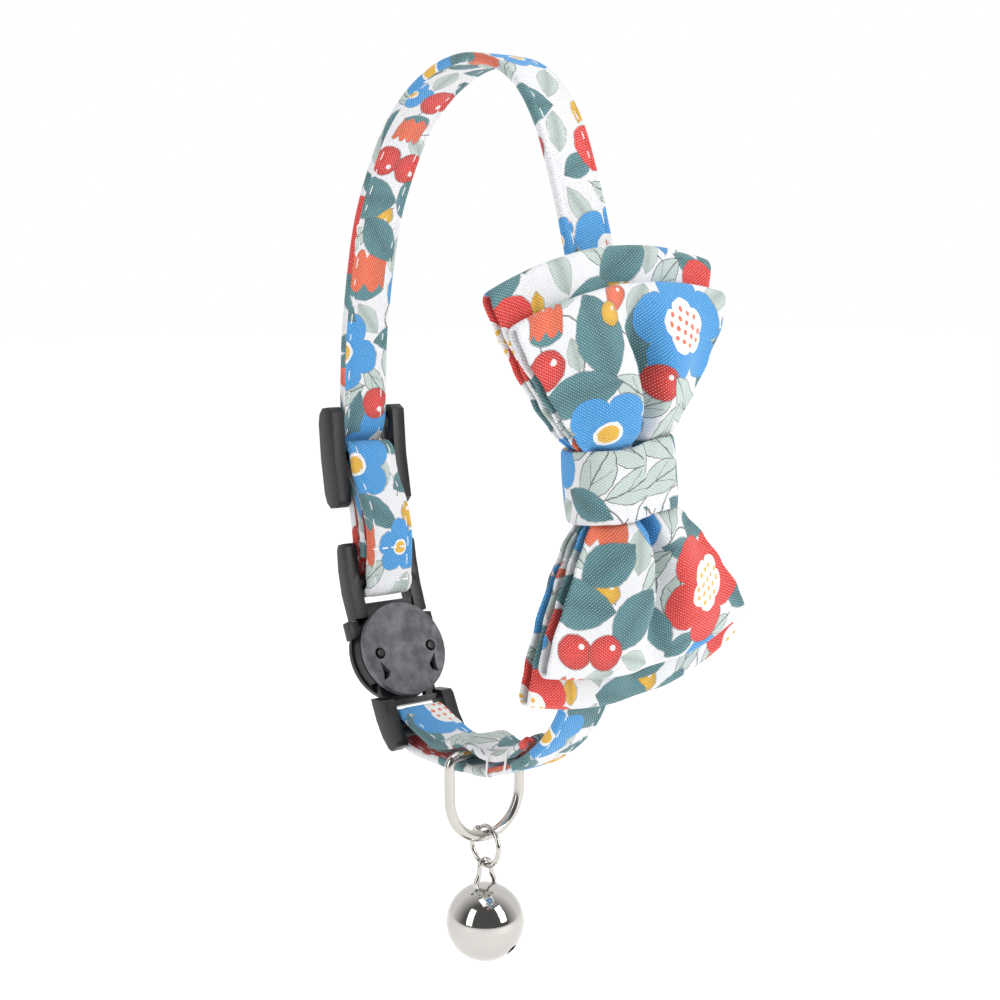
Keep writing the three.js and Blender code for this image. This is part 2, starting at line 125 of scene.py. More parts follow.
def leaned(at, lean, s, n):
    c, k = math.cos(math.radians(lean)), math.sin(math.radians(lean))
    return (at[0] + s * k + n * c, at[1] - s * c + n * k)


def arc(centre, r, a0, a1, count):
    turn = [math.radians(a0 + (a1 - a0) * i / count) for i in range(count + 1)]
    return [(centre[0] + r * math.cos(a), centre[1] + r * math.sin(a)) for a in turn]


def on_slider(s, n):
    return leaned(SLIDER_AT, SLIDER_LEAN, s, n)


upper_bar = leaned(BUCKLE_AT, BUCKLE_LEAN, -12.2, 0)
lower_bar = leaned(BUCKLE_AT, BUCKLE_LEAN, 12.2, 0.6)
route = [
    (18.6, -46.0), (14.7, -48.75), (10.8, -50.35), (7, -50.55), (3.2, -49.75), (-0.5, -50.85), (-4.5, -51.75),
    (-9.2, -50.5), *arc(lower_bar, 1.9, 62, 225, 8),
    (-13.9, -53.0), (-10.8, -53.95), (-6, -54.1), (0, -54.0), (3.2, -53.75), (7.5, -53.35), (11.5, -52.2),
    (15.7, -50.35), (19.7, -47.65), (23.7, -43.9), (27, -38.5), (29.1, -32.7), (29.9, -26), (30.0, -18.5),
    (29.9, -6.1), (29.8, 4), (29.3, 12.6), (28, 21), (25.9, 28.5), (23.4, 35.8), (20.2, 43), (15.9, 48.5),
    (10.6, 51.6), (5, 52.9), (-0.6, 52.7), (-6.1, 51.2), (-11.5, 48.5), (-16.6, 44.2), (-21.1, 38.3),
    (-24.9, 30.9), (-27.5, 22.2), (-29.2, 12.6), (-30.0, 4),
    on_slider(-7.2, 0.6), on_slider(-4.7, -0.35), on_slider(-2.9, -1.95), on_slider(0, -3.15),
    on_slider(2.6, -2.75), on_slider(5, -0.95), on_slider(7.2, 0.6), (-27.1, -19.5), (-26.5, -24),
    *arc(upper_bar, 1.9, 195, 385, 9),
    (-22.6, -23.5), (-22.75, -19.5), on_slider(7.2, 4.3), on_slider(5, 3.35), on_slider(2.4, 2.5),
    *arc(on_slider(0, 0.5), 1.8, 2, 190, 8),
    on_slider(2.6, -0.9), on_slider(5, 0.95), on_slider(7.2, 2.45), (-25.05, -18.5), (-24.5, -22), (-24.45, -24.4),
]


def smooth(points, step, closed=False):
    """Points every step or so along a centripetal curve through the given ones."""
    pts = [Vector(p) for p in points]
    n = len(pts)
    at = (lambda i: pts[i % n]) if closed else (
        lambda i: pts[0] * 2 - pts[1] if i < 0 else pts[-1] * 2 - pts[-2] if i >= n else pts[i])
    out = []
    for i in range(n if closed else n - 1):
        a, b, c, d = at(i - 1), at(i), at(i + 1), at(i + 2)
        t1 = (b - a).length ** 0.5 + 1e-9
        t2 = t1 + (c - b).length ** 0.5
        t3 = t2 + (d - c).length ** 0.5 + 1e-9
        count = max(1, round((c - b).length / step))
        for k in range(count):
            t = t1 + (t2 - t1) * k / count
            l1 = a * ((t1 - t) / t1) + b * (t / t1)
            l2 = b * ((t2 - t) / (t2 - t1)) + c * ((t - t1) / (t2 - t1))
            l3 = c * ((t3 - t) / (t3 - t2)) + d * ((t - t2) / (t3 - t2))
            m1 = l1 * ((t2 - t) / t2) + l2 * (t / t2)
            m2 = l2 * ((t3 - t) / (t3 - t1)) + l3 * ((t - t1) / (t3 - t1))
            out.append(m1 * ((t2 - t) / (t2 - t1)) + m2 * ((t - t1) / (t2 - t1)))
    return out if closed else out + [pts[-1]]


def loft(name, rings, across, along, loop, caps=True):
    """A mesh from rings of points. across and along are its cloth coordinates in mm, one more than the points
    where that way closes."""
    n, m = len(rings), len(rings[0])
    faces, marks = [], []
    for i in range(n if loop else n - 1):
        for j in range(m):
            a, b, k = i * m, ((i + 1) % n) * m, (j + 1) % m
            faces.append((a + j, b + j, b + k, a + k))
            marks.append(((j, i), (j, i + 1), (j + 1, i + 1), (j + 1, i)))
    if not loop and caps:
        faces += [tuple(range(m)), tuple(reversed(range((n - 1) * m, n * m)))]
        marks += [[(j, 0) for j in range(m)], [(j, n - 1) for j in reversed(range(m))]]
    mesh = bpy.data.meshes.new(name)
    mesh.from_pydata([Vector(p) * MM for ring in rings for p in ring], [], faces)
    layer = mesh.uv_layers.new(name="cloth")
    flat = [c for marked in marks for j, i in marked for c in (across[j], along[i])]
    layer.data.foreach_set("uv", flat)
    work = bmesh.new()
    work.from_mesh(mesh)
    if work.calc_volume(signed=True) < 0:
        bmesh.ops.reverse_faces(work, faces=work.faces)
    work.to_mesh(mesh)
    work.free()
    mesh.polygons.foreach_set("use_smooth", [True] * len(mesh.polygons))
    thing = bpy.data.objects.new(name, mesh)
    bpy.context.scene.collection.objects.link(thing)
    return thing


def frames_along(path):
    """Each point with its direction, its face normal in the XZ plane and the distance run so far."""
    run, out = 0.0, []
    for i, p in enumerate(path):
        t = (path[min(i + 1, len(path) - 1)] - path[max(i - 1, 0)]).normalized()
        if i:
            run += (p - path[i - 1]).length
        out.append((p, t, Vector((-t.y, t.x)), run))
    return out


strap_path = frames_along(smooth(route, 0.7))
STITCH_IN, STITCH_PITCH = 1.15, 3.1
half = STRAP_WIDTH / 2
lanes = [half * k for k in (-0.93, -0.86, -0.79, -0.73, -0.66, -0.55, -0.3, 0, 0.3, 0.55, 0.66, 0.73, 0.79, 0.86, 0.93)]


def strap_height(y, run):
    """Half the strap's thickness at y: puffed in the middle, pulled in along each stitched line."""
    edge = half - abs(y)
    puff = 0.5 * STRAP_THICK * (1 - 0.10 * (abs(y) / half) ** 2)
    pull = 0.24 * math.exp(-((edge - STITCH_IN) / 0.32) ** 2)
    pull *= 0.75 + 0.25 * math.cos(2 * math.pi * run / STITCH_PITCH)
    return puff - pull + 0.03 * noise.noise(Vector((y * 0.6, run * 0.35, 3.0)))


def strap_ring(p, n, run):
    wave = 0.10 * noise.noise(Vector((run * 0.11, 7.0, 0.0)))
    ring = [(y + wave, strap_height(y, run)) for y in lanes]
    ring += [(half + wave, 0.34), (half + 0.03 + wave, 0.0), (half + wave, -0.34)]
    ring += [(y + wave, -strap_height(y, run + 40)) for y in reversed(lanes)]
    ring += [(-half + wave, -0.34), (-half - 0.03 + wave, 0.0), (-half + wave, 0.34)]
    return [(p.x + n.x * h, y, p.y + n.y * h) for y, h in ring]


strap_rings = [strap_ring(p, n, run) for p, t, n, run in strap_path]
first = strap_rings[0]
around = [0.0]
for j in range(len(first)):
    around.append(around[-1] + (Vector(first[(j + 1) % len(first)]) - Vector(first[j])).length)
strap = loft("strap_cloth", strap_rings, around, [run for *_, run in strap_path], False)
# the strap is cut on a slant to the repeat, so its print doesn't line up from turn to turn
for mark in strap.data.uv_layers["cloth"].data:
    u, v = mark.uv
    mark.uv = (u * 0.94 + v * 0.342 + 9, v * 0.94 - u * 0.342 + 21)


class Shade:
    """A shader value or colour. Arithmetic on it adds Math nodes."""
    tree = None

    def __init__(self, socket):
        self.socket = socket

    @classmethod
    def node(cls, kind, settings=None, values=None, out=0):
        made = cls.tree.nodes.new(kind)
        for key, value in (settings or {}).items():
            setattr(made, key, value)
        for key, value in (values or {}).items():
            if isinstance(value, Shade):
                cls.tree.links.new(value.socket, made.inputs[key])
            else:
                made.inputs[key].default_value = value
        return Shade(made.outputs[out])

    def math(self, operation, other=None, swap=False):
        values = {0: self} if other is None else {0: other, 1: self} if swap else {0: self, 1: other}
        return Shade.node("ShaderNodeMath", {"operation": operation}, values)

    def __add__(self, o): return self.math("ADD", o)
    def __radd__(self, o): return self.math("ADD", o)
    def __sub__(self, o): return self.math("SUBTRACT", o)
    def __rsub__(self, o): return self.math("SUBTRACT", o, True)
    def __mul__(self, o): return self.math("MULTIPLY", o)
    def __rmul__(self, o): return self.math("MULTIPLY", o)
    def __truediv__(self, o): return self.math("DIVIDE", o)
    def __lt__(self, o): return self.math("LESS_THAN", o)
    def __gt__(self, o): return self.math("GREATER_THAN", o)
    def __abs__(self): return self.math("ABSOLUTE")


def mix(a, b, factor):
    """Colour a where factor is 0, b where it is 1."""
    a, b = (c if isinstance(c, Shade) else (*c, 1) for c in (a, b))
    return Shade.node("ShaderNodeMix", {"data_type": "RGBA"}, {0: factor, 6: a, 7: b}, 2)


def srgb(red, green, blue):
    return tuple(((c / 255 + 0.055) / 1.055) ** 2.4 for c in (red, green, blue))


def new_material(name):
    """An empty node material, made current for Shade, and its Principled shader."""
    made = bpy.data.materials.new(name)
    made.use_nodes = True
    Shade.tree = made.node_tree
    return made, made.node_tree.nodes["Principled BSDF"]


def plug(shader, name, value):
    Shade.tree.links.new(value.socket, shader.inputs[name])


GROUND, TEAL, SKY, RED = srgb(240, 241, 244), srgb(78, 132, 138), srgb(54, 154, 222), srgb(226, 52, 42)
CORAL, YELLOW, PALE, INK = srgb(242, 108, 66), srgb(238, 184, 44), srgb(196, 211, 205), srgb(74, 76, 74)
WHITE = srgb(246, 246, 244)
TILE = (40.0, 56.0)
# The repeat: kind, place across and up the tile in mm, half length, width share, turn in degrees, colour
CHART = [
    ("leaf", 22.5, 52.0, 3.0, 0.5, 60, PALE), ("leaf", 10.0, 55.4, 2.8, 0.45, 20, PALE),
    ("leaf", 35.4, 46.4, 3.2, 0.45, 120, PALE), ("leaf", 1.4, 41.6, 3.2, 0.5, 70, PALE),
    ("outline", 18.4, 41.4, 3.6, 0.5, 140, PALE), ("leaf", 10.2, 47.6, 2.4, 0.5, 100, PALE),
    ("flower", 0.2, 47.2, 3.4, 5, 40, SKY), ("outline", 22.8, 37.6, 3.2, 0.5, 30, PALE),
    ("leaf", 38.8, 35.4, 3.2, 0.5, 110, TEAL), ("leaf", 10.2, 35.6, 3.0, 0.5, 70, PALE),
    ("leaf", 17.6, 28.4, 3.2, 0.5, 30, PALE), ("leaf", 34.2, 26.6, 3.2, 0.5, 150, TEAL),
    ("leaf", 0.4, 33.0, 3.0, 0.5, 20, PALE), ("outline", 8.8, 17.8, 3.4, 0.5, 120, PALE),
    ("leaf", 18.2, 17.0, 3.4, 0.5, 70, PALE), ("leaf", 38.4, 20.4, 3.2, 0.5, 60, TEAL),
    ("leaf", 26.0, 15.6, 3.2, 0.5, 160, TEAL), ("outline", 24.4, 9.2, 3.6, 0.5, 80, PALE),
    ("leaf", 1.8, 7.4, 3.2, 0.5, 80, PALE), ("leaf", 25.4, 1.6, 3.0, 0.5, 20, TEAL),
    ("leaf", 38.0, 3.4, 3.4, 0.5, 130, TEAL), ("leaf", 16.6, 1.4, 2.8, 0.5, 160, PALE),
    ("outline", 32.2, 1.0, 3.4, 0.45, 10, PALE), ("berry", 12.2, 12.0, 1.7, 0, 0, YELLOW),
    ("leaf", 14.2, 49.2, 6.0, 0.62, 100, TEAL), ("leaf", 10.6, 42.0, 6.2, 0.50, 8, TEAL),
    ("leaf", 21.4, 45.6, 5.5, 0.36, 84, TEAL), ("leaf", 35.6, 40.6, 6.5, 0.42, 78, TEAL),
    ("leaf", 4.6, 35.4, 4.3, 0.55, 140, TEAL), ("leaf", 37.0, 53.0, 3.4, 0.5, 40, PALE),
    ("flower", 29.6, 48.4, 8.4, 5, 20, SKY), ("flower", 15.2, 35.2, 6.6, 5, 60, SKY),
    ("berry", 5.8, 46.6, 2.8, 0, 0, RED), ("berry", 24.4, 41.0, 2.5, 0, 0, RED),
    ("berry", 18.6, 53.4, 1.9, 0, 0, CORAL), ("berry", 16.6, 51.6, 1.5, 0, 0, YELLOW),
    ("tulip", 6.4, 53.2, 3.2, 0, 80, CORAL), ("outline", 29.6, 37.6, 5.2, 0.5, 128, PALE),
    ("outline", 25.6, 33.6, 4.5, 0.5, 60, PALE), ("outline", 30.6, 31.6, 4.2, 0.5, 20, PALE),
    ("leaf", 23.8, 29.6, 4.1, 0.5, 150, TEAL), ("tulip", 36.6, 31.0, 3.5, 0, 15, CORAL),
    ("leaf", 11.0, 28.0, 4.8, 0.45, 20, TEAL), ("berry", 4.0, 29.4, 2.1, 0, 0, YELLOW),
    ("flower", 5.0, 23.6, 4.3, 5, 0, SKY), ("tulip", 13.6, 21.4, 4.8, 0, 250, CORAL),
    ("leaf", 13.4, 15.6, 5.0, 0.55, 30, TEAL), ("leaf", 21.0, 20.6, 4.3, 0.46, 95, SKY),
    ("outline", 26.6, 22.6, 4.8, 0.5, 62, PALE), ("outline", 20.6, 13.4, 4.2, 0.42, 38, PALE),
    ("leaf", 32.6, 18.6, 5.3, 0.62, 24, TEAL), ("leaf", 38.0, 12.6, 2.2, 0.5, 90, YELLOW),
    ("leaf", 7.6, 10.4, 5.5, 0.66, 166, TEAL), ("leaf", 15.8, 7.4, 5.3, 0.6, 52, TEAL),
    ("flower", 30.6, 8.8, 8.2, 5, 52, RED), ("berry", 6.4, 3.6, 2.6, 0, 0, RED),
    ("berry", 11.2, 3.2, 2.6, 0, 0, RED), ("leaf", 21.6, 5.2, 4.8, 0.4, 112, TEAL),
    ("leaf", 37.4, 23.8, 3.6, 0.5, 70, PALE), ("leaf", 2.4, 16.4, 3.6, 0.44, 100, PALE),
]
STEMS = [(15.6, 45.4, 4.4, 0.9), (27.6, 34.4, 3.2, 1.0), (17.4, 12.0, 4.8, 1.0), (10.6, 32.6, 3.6, 0.8),
         (24.6, 25.6, 4.0, 0.9), (8.4, 50.0, 3.2, 0.8), (33.6, 26.6, 3.4, 0.9), (26.2, 15.4, 3.0, 0.8)]


def floral_print(colour, cloth):
    """The printed repeat over the ground colour, each motif tiled about its own middle."""
    def placed(x, y, size, turn):
        half_x, half_y = TILE[0] / 2, TILE[1] / 2
        spot = Shade.node("ShaderNodeVectorMath", {"operation": "WRAP"}, {
            0: cloth, 1: (x + half_x, y + half_y, 1), 2: (x - half_x, y - half_y, 0)})
        place = Shade.node("ShaderNodeMapping", {"vector_type": "TEXTURE"}, {
            "Vector": spot, "Location": (x, y, 0), "Rotation": (0, 0, math.radians(turn)), "Scale": (size, size, 1)})
        parts = Shade.node("ShaderNodeSeparateXYZ", values={0: place})
        length = Shade.node("ShaderNodeVectorMath", {"operation": "LENGTH"}, {0: place}, 1)
        return place, parts, Shade(parts.socket.node.outputs[1]), length

    for x, y, r, share in STEMS:
        _, px, py, length = placed(x, y, 1, 0)
        colour = mix(colour, INK, (abs(length - r) < 0.12) * (py > -r * share * 0.4) * 0.8)
    for kind, x, y, size, share, turn, paint in CHART:
        place, px, py, length = placed(x, y, size, turn)
        rim = 0.15 / size
        deep = tuple(c * 0.72 for c in paint)
        if kind in ("leaf", "outline"):
            edge = abs(py) + px * px * share - share
            colour = mix(colour, INK, (edge < rim) * (0.85 if kind == "outline" else 0.45))
            colour = mix(colour, mix(deep if kind == "leaf" else paint, paint, (abs(py) * 3.0).math("MINIMUM", 1)),
                         edge < 0)
            if kind == "outline":
                colour = mix(colour, INK, (abs(py) < rim * 0.7) * (abs(px) < 1.15) * 0.8)
                colour = mix(colour, INK, (abs(abs(py) - (px + 0.35) * 0.5) < rim * 0.5) * (abs(px) < 0.35) * 0.6)
        elif kind == "tulip":
            teeth = abs((py * 7.0).math("SINE")) * 0.3
            edge = length.math("MAXIMUM", abs(py) * 1.25).math("MAXIMUM", px + 1 - 0.45 - teeth)
            colour = mix(colour, INK, (edge < 1 + rim) * 0.5)
            colour = mix(colour, mix(paint, deep, abs(py)), edge < 1)
            colour = mix(colour, TEAL, (edge < 1) * (px + 0.42 + abs((py * 5.0).math("SINE")) * 0.3 < 0))
        elif kind == "berry":
            colour = mix(colour, INK, (length < 1 + rim) * 0.5)
            colour = mix(colour, mix(paint, deep, length * length), length < 1)
            glint = Shade.node("ShaderNodeVectorMath", {"operation": "DISTANCE"}, {0: place, 1: (0.42, 0.3, 0)}, 1)
            colour = mix(colour, WHITE, (glint < 0.17) * 0.9)
        else:
            angle = py.math("ARCTAN2", px)
            lobe = abs((angle * (share / 2)).math("COSINE")).math("POWER", 0.6)
            edge = length - lobe * 0.3 - 0.7 + (angle * 3.0 + 1.0).math("SINE") * 0.05
            colour = mix(colour, INK, (edge < rim) * 0.5)
            colour = mix(colour, mix(deep, paint, (length * 2.0 + lobe * 0.5).math("MINIMUM", 1)), edge < 0)
            if size > 7:
                colour = mix(colour, WHITE, length < (lobe * 0.1 + 0.38))
                dots = (px * 26.0).math("SINE") * (py * 26.0).math("SINE")
                colour = mix(colour, YELLOW if paint is RED else CORAL, (dots > 0.45) * (length < 0.38))
            else:
                colour = mix(colour, WHITE, length < 0.3)
                colour = mix(colour, YELLOW, length < 0.22)
    return colour


def cotton(name, ground, printed, pitch=(0.58, 0.44)):
    """Plain-weave cotton: raised threads over and under each other, paler on the thread crests, partly where the white
    core shows and partly as painted sheen, and darker in the hollows between threads as painted shade.
    """
    made, shader = new_material(name)
    cloth = Shade.node("ShaderNodeUVMap", {"uv_map": "cloth"})
    parts = Shade.node("ShaderNodeSeparateXYZ", values={0: cloth})
    u, v = parts, Shade(parts.socket.node.outputs[1])
    warp = (u * (2 * math.pi / pitch[0])).math("COSINE")
    weft = (v * (2 * math.pi / pitch[1])).math("COSINE")
    weave = (warp * weft) * 0.5 + 0.5
    mottle = Shade.node("ShaderNodeTexNoise", values={"Vector": cloth, "Scale": 0.9, "Detail": 3.0})
    slub = Shade.node("ShaderNodeTexNoise", values={"Vector": cloth, "Scale": 4.0, "Detail": 2.0})
    colour = ground
    if printed:
        wobble = Shade.node("ShaderNodeVectorMath", {"operation": "MULTIPLY"}, {
            0: Shade(mottle.socket.node.outputs["Color"]), 1: (0.5, 0.5, 0)})
        moved = Shade.node("ShaderNodeVectorMath", {"operation": "ADD"}, {0: cloth, 1: wobble})
        colour = floral_print(mix(ground, ground, 0.0), moved)
    # painted sheen: the thread crests are lightened towards white, partly the white core showing and partly a painted
    # highlight
    colour = mix(colour, WHITE, (weave > 0.80) * (slub * 0.9 - 0.08))
    # painted shade: darkened in the hollows between threads, plus a slight random mottle of tone
    colour = mix(colour, (0.10, 0.11, 0.13), (1 - weave) * 0.20 + (mottle - 0.5) * 0.08)
    plug(shader, "Base Color", colour)
    plug(shader, "Roughness", 0.8 + (slub - 0.5) * 0.1)
    bump = Shade.node("ShaderNodeBump", values={"Strength": 0.8, "Distance": 0.00009,
                                                "Height": weave + slub * 0.5})
    plug(shader, "Normal", bump)
    shader.inputs["Sheen Weight"].default_value = 0.15
    shader.inputs["Specular IOR Level"].default_value = 0.25
    return made


printed_cotton = cotton("printed cotton", GROUND, True)
strap.data.materials.append(printed_cotton)
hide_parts("strap")
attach(strap, "collar")


# Stitching: white polyester thread in a running stitch along both edges of the strap, seen on both faces,
# with rows across the two sewn ends and two turns of thread over the near edge by the D-ring.
def tube(points, radius, sides, closed=False, taper=0.0):
    """Rings of a round wire along points, thinner towards its two ends when taper is given."""
    up, rings, n = None, [], len(points)
    pts = [Vector(p) for p in points]
    for i, p in enumerate(pts):
        a = pts[(i - 1) % n] if closed else pts[max(i - 1, 0)]
        b = pts[(i + 1) % n] if closed else pts[min(i + 1, n - 1)]
        t = (b - a).normalized()
        if up is None:
            up = Vector((1, 0, 0)) if abs(t.x) < 0.8 else Vector((0, 1, 0))
        up = (up - t * up.dot(t)).normalized()
        side = t.cross(up)
        f = i / (n - 1)
        r = radius * (1 - taper * (abs(2 * f - 1) ** 6)) if taper else radius
        rings.append([p + up * r * math.cos(2 * math.pi * j / sides) + side * r * math.sin(2 * math.pi * j / sides)
                      for j in range(sides)])
    return rings


def joined(name, parts):
    """One object from several, each already linked."""
    work = bmesh.new()
    for part in parts:
        work.from_mesh(part.data)
        bpy.data.objects.remove(part)
    mesh = bpy.data.meshes.new(name)
    work.to_mesh(mesh)
    work.free()
    mesh.polygons.foreach_set("use_smooth", [True] * len(mesh.polygons))
    made = bpy.data.objects.new(name, mesh)
    bpy.context.scene.collection.objects.link(made)
    return made


def thread(name, points, radius=0.17):
    rings = tube(points, radius, 7, taper=0.6)
    return loft(name, rings, [j * 0.15 for j in range(8)], [i * 0.5 for i in range(len(rings))], False)


total = strap_path[-1][3]
strap_at = lambda run: min(strap_path, key=lambda f: abs(f[3] - run))
threads = []
for face in (1, -1):
    for y in (-(half - STITCH_IN), half - STITCH_IN):
        run = 1.2 + 0.3 * face
        while run < total - 2.2:
            pts = []
            for k in range(5):
                f = k / 4
                p, t, n, r = strap_at(run + 2.1 * f)
                h = face * (strap_height(y, r) + 0.02 - 0.26 * abs(2 * f - 1) ** 4)
                pts.append((p.x + n.x * h, y + 0.06 * math.sin(run * 5.1), p.y + n.y * h))
            if (Vector(pts[0]) - Vector(pts[-1])).length > 1.2:
                threads.append(thread("stitch", pts, 0.12))
            run += STITCH_PITCH
turned_end = [frame for frame in strap_path if total - 46 < frame[3] < total - 22]
for z, y0, y1 in ((-23.0, -3.9, 3.4), (-28.4, 0.2, 4.0)):
    run, y = min(turned_end, key=lambda f: abs(f[0].y - z))[3], y0
    while y < y1 - 0.8:
        pts = []
        for k in range(5):
            f = k / 4
            p, t, n, r = strap_at(run + 0.12 * math.sin(y * 3))
            h = strap_height(y + 1.5 * f, r) + 0.05 - 0.22 * abs(2 * f - 1) ** 4
            pts.append((p.x - n.x * h, y + 1.5 * f, p.y - n.y * h))
        threads.append(thread("cross_stitch", pts, 0.16))
        y += 1.75
for x, lean in ((9.6, 0.5), (14.0, 0.8)):
    upper = min(strap_path[:60], key=lambda f: abs(f[0].x - x - lean))
    lower = min([f for f in strap_path if f[0].y < -49 and f[3] > 35], key=lambda f: abs(f[0].x - x))
    a, b = upper[0] + Vector((0, 0.8)), lower[0] - Vector((0, 0.8))
    threads.append(thread("edge_turn", [(a.x, -3.2, a.y), (a.x, -4.25, a.y - 0.1), ((a.x * 2 + b.x) / 3, -4.62, a.y - 0.9),
                                        ((a.x + b.x) / 2, -4.66, (a.y + b.y) / 2), (b.x, -4.6, b.y + 0.7),
                                        (b.x, -4.2, b.y + 0.02), (b.x, -3.3, b.y - 0.03)], 0.19))
stitching = joined("strap_stitches", threads)
thread_white, shader = new_material("white thread")
twist = Shade.node("ShaderNodeTexNoise", values={"Scale": 5000.0, "Detail": 1.0})
plug(shader, "Base Color", mix((0.80, 0.80, 0.80), (0.93, 0.93, 0.93), twist))
shader.inputs["Roughness"].default_value = 0.6
stitching.data.materials.append(thread_white)
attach(stitching, "collar")


# Slider and buckle: black injection-moulded plastic with a fine sparked finish and small rounded edges. The
# cover disc of the buckle is a separate moulding, greyer and more worn, held by two pins.
def softened(node, width, name):
    """The node's solid with its flat faces joined up and its sharp edges rounded."""
    work = bmesh.new()
    work.from_mesh(bpy.data.objects[node].data)
    bmesh.ops.remove_doubles(work, verts=work.verts, dist=1e-6)
    bmesh.ops.dissolve_limit(work, angle_limit=math.radians(2), verts=work.verts, edges=work.edges)
    mesh = bpy.data.meshes.new(name)
    work.to_mesh(mesh)
    work.free()
    made = bpy.data.objects.new(name, mesh)
    bpy.context.scene.collection.objects.link(made)
    bevel = made.modifiers.new("edges", "BEVEL")
    bevel.width, bevel.segments, bevel.limit_method, bevel.angle_limit = width * MM, 3, "ANGLE", math.radians(28)
    bevel.use_clamp_overlap = True
    mesh.polygons.foreach_set("use_smooth", [True] * len(mesh.polygons))
    bpy.context.view_layer.update()
    ready = bpy.data.meshes.new_from_object(made.evaluated_get(bpy.context.evaluated_depsgraph_get()))
    made.modifiers.clear()
    made.data = ready
    ready.set_sharp_from_angle(angle=math.radians(35))
    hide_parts(node)
    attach(made, "collar")
    return made


def moulded(name, dark, pale, rough):
    made, shader = new_material(name)
    spot = Shade.node("ShaderNodeTexCoord", out=3)
    spark = Shade.node("ShaderNodeTexNoise", values={"Vector": spot, "Scale": 7000.0, "Detail": 2.0})
    rub = Shade.node("ShaderNodeTexNoise", values={"Vector": spot, "Scale": 420.0, "Detail": 4.0, "Roughness": 0.6})
    wear = Shade.node("ShaderNodeMapRange", values={"Value": rub, "From Min": 0.38, "From Max": 0.66})
    plug(shader, "Base Color", mix(mix(dark, pale, wear), (0.16, 0.16, 0.165), (spark > 0.66) * 0.12))
    plug(shader, "Roughness", rough + (rub - 0.5) * 0.25)
    plug(shader, "Normal", Shade.node("ShaderNodeBump", values={
        "Strength": 0.35, "Distance": 0.00004, "Height": spark + rub * 0.6}))
    shader.inputs["Specular IOR Level"].default_value = 0.4
    return made


slider = softened("slider", 0.32, "slider_moulding")
slider.data.materials.append(moulded("slider plastic", (0.007, 0.007, 0.008), (0.013, 0.013, 0.014), 0.34))
buckle_black = moulded("buckle plastic", (0.007, 0.007, 0.008), (0.016, 0.016, 0.018), 0.36)
for node in ("buckle_upper", "buckle_lower"):
    moulding = softened(node, 0.2, node + "_moulding")
    moulding.data.materials.append(buckle_black)
cover = softened("buckle_cover", 0.22, "buckle_cover_moulding")
cover.data.materials.append(moulded("cover plastic", (0.070, 0.072, 0.080), (0.165, 0.168, 0.182), 0.4))


# D-ring and jump ring: steel wire bent to shape and nickel plated. The jump ring's cut ends pass each other.
HANG_X, DRING_BAR_Z, DRING_WIRE, DRING_HALF, DRING_DROP = 3.2, -51.7, 1.65, 6.8, 13.6
JUMP_WIRE, JUMP_R = 0.78, 3.06


def plated(name, colour, rough):
    made, shader = new_material(name)
    spot = Shade.node("ShaderNodeTexCoord", out=3)
    smear = Shade.node("ShaderNodeTexNoise", values={"Vector": spot, "Scale": 300.0, "Detail": 5.0})
    grain = Shade.node("ShaderNodeTexNoise", values={"Vector": spot, "Scale": 2500.0, "Detail": 2.0})
    plug(shader, "Base Color", mix(colour, tuple(c * 0.86 for c in colour), smear))
    plug(shader, "Roughness", rough + (smear - 0.4) * 0.10)
    plug(shader, "Normal", Shade.node("ShaderNodeBump", values={"Strength": 0.06, "Distance": 0.00003, "Height": grain}))
    shader.inputs["Metallic"].default_value = 1
    return made


nickel = plated("nickel wire", (0.60, 0.575, 0.54), 0.12)
bend, h = 1.5, DRING_HALF
outline = [(y, 0.0) for y in (-4.2, -2.1, 0, 2.1, 4.2)]
outline += [(h - bend + bend * math.sin(i * math.pi / 8), -bend + bend * math.cos(i * math.pi / 8)) for i in range(5)]
for i in range(41):
    a = i * math.pi / 40
    outline.append((h * math.cos(a), -(DRING_DROP - 7.3) - 7.3 * math.sin(a) ** 0.92))
outline += [(-h + bend - bend * math.sin(i * math.pi / 8), -bend + bend * math.cos(i * math.pi / 8)) for i in (4, 3, 2, 1, 0)]
ring_path = smooth([(HANG_X, y, DRING_BAR_Z + z) for y, z in outline], 0.35, True)
rings = tube(ring_path, DRING_WIRE / 2, 24, True)
d_ring = loft("d_ring_wire", rings, list(range(25)), list(range(len(rings) + 1)), True)
d_ring.data.materials.append(nickel)
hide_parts("d_ring")
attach(d_ring, "d_ring")

jump_z = DRING_BAR_Z - DRING_DROP + DRING_WIRE / 2 + JUMP_WIRE / 2 + 0.15 - JUMP_R
ring_path = []
for i in range(97):
    f = i / 96
    a = math.radians(112 + 392 * f)
    ring_path.append((HANG_X + JUMP_R * math.cos(a), (f - 0.403) * 1.15, jump_z + JUMP_R * math.sin(a)))
rings = tube(ring_path, JUMP_WIRE / 2, 18)
jump_ring = loft("jump_ring_wire", rings, list(range(19)), list(range(len(rings))), False)
jump_ring.data.materials.append(nickel)
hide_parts("jump_ring")
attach(jump_ring, "jump_ring")


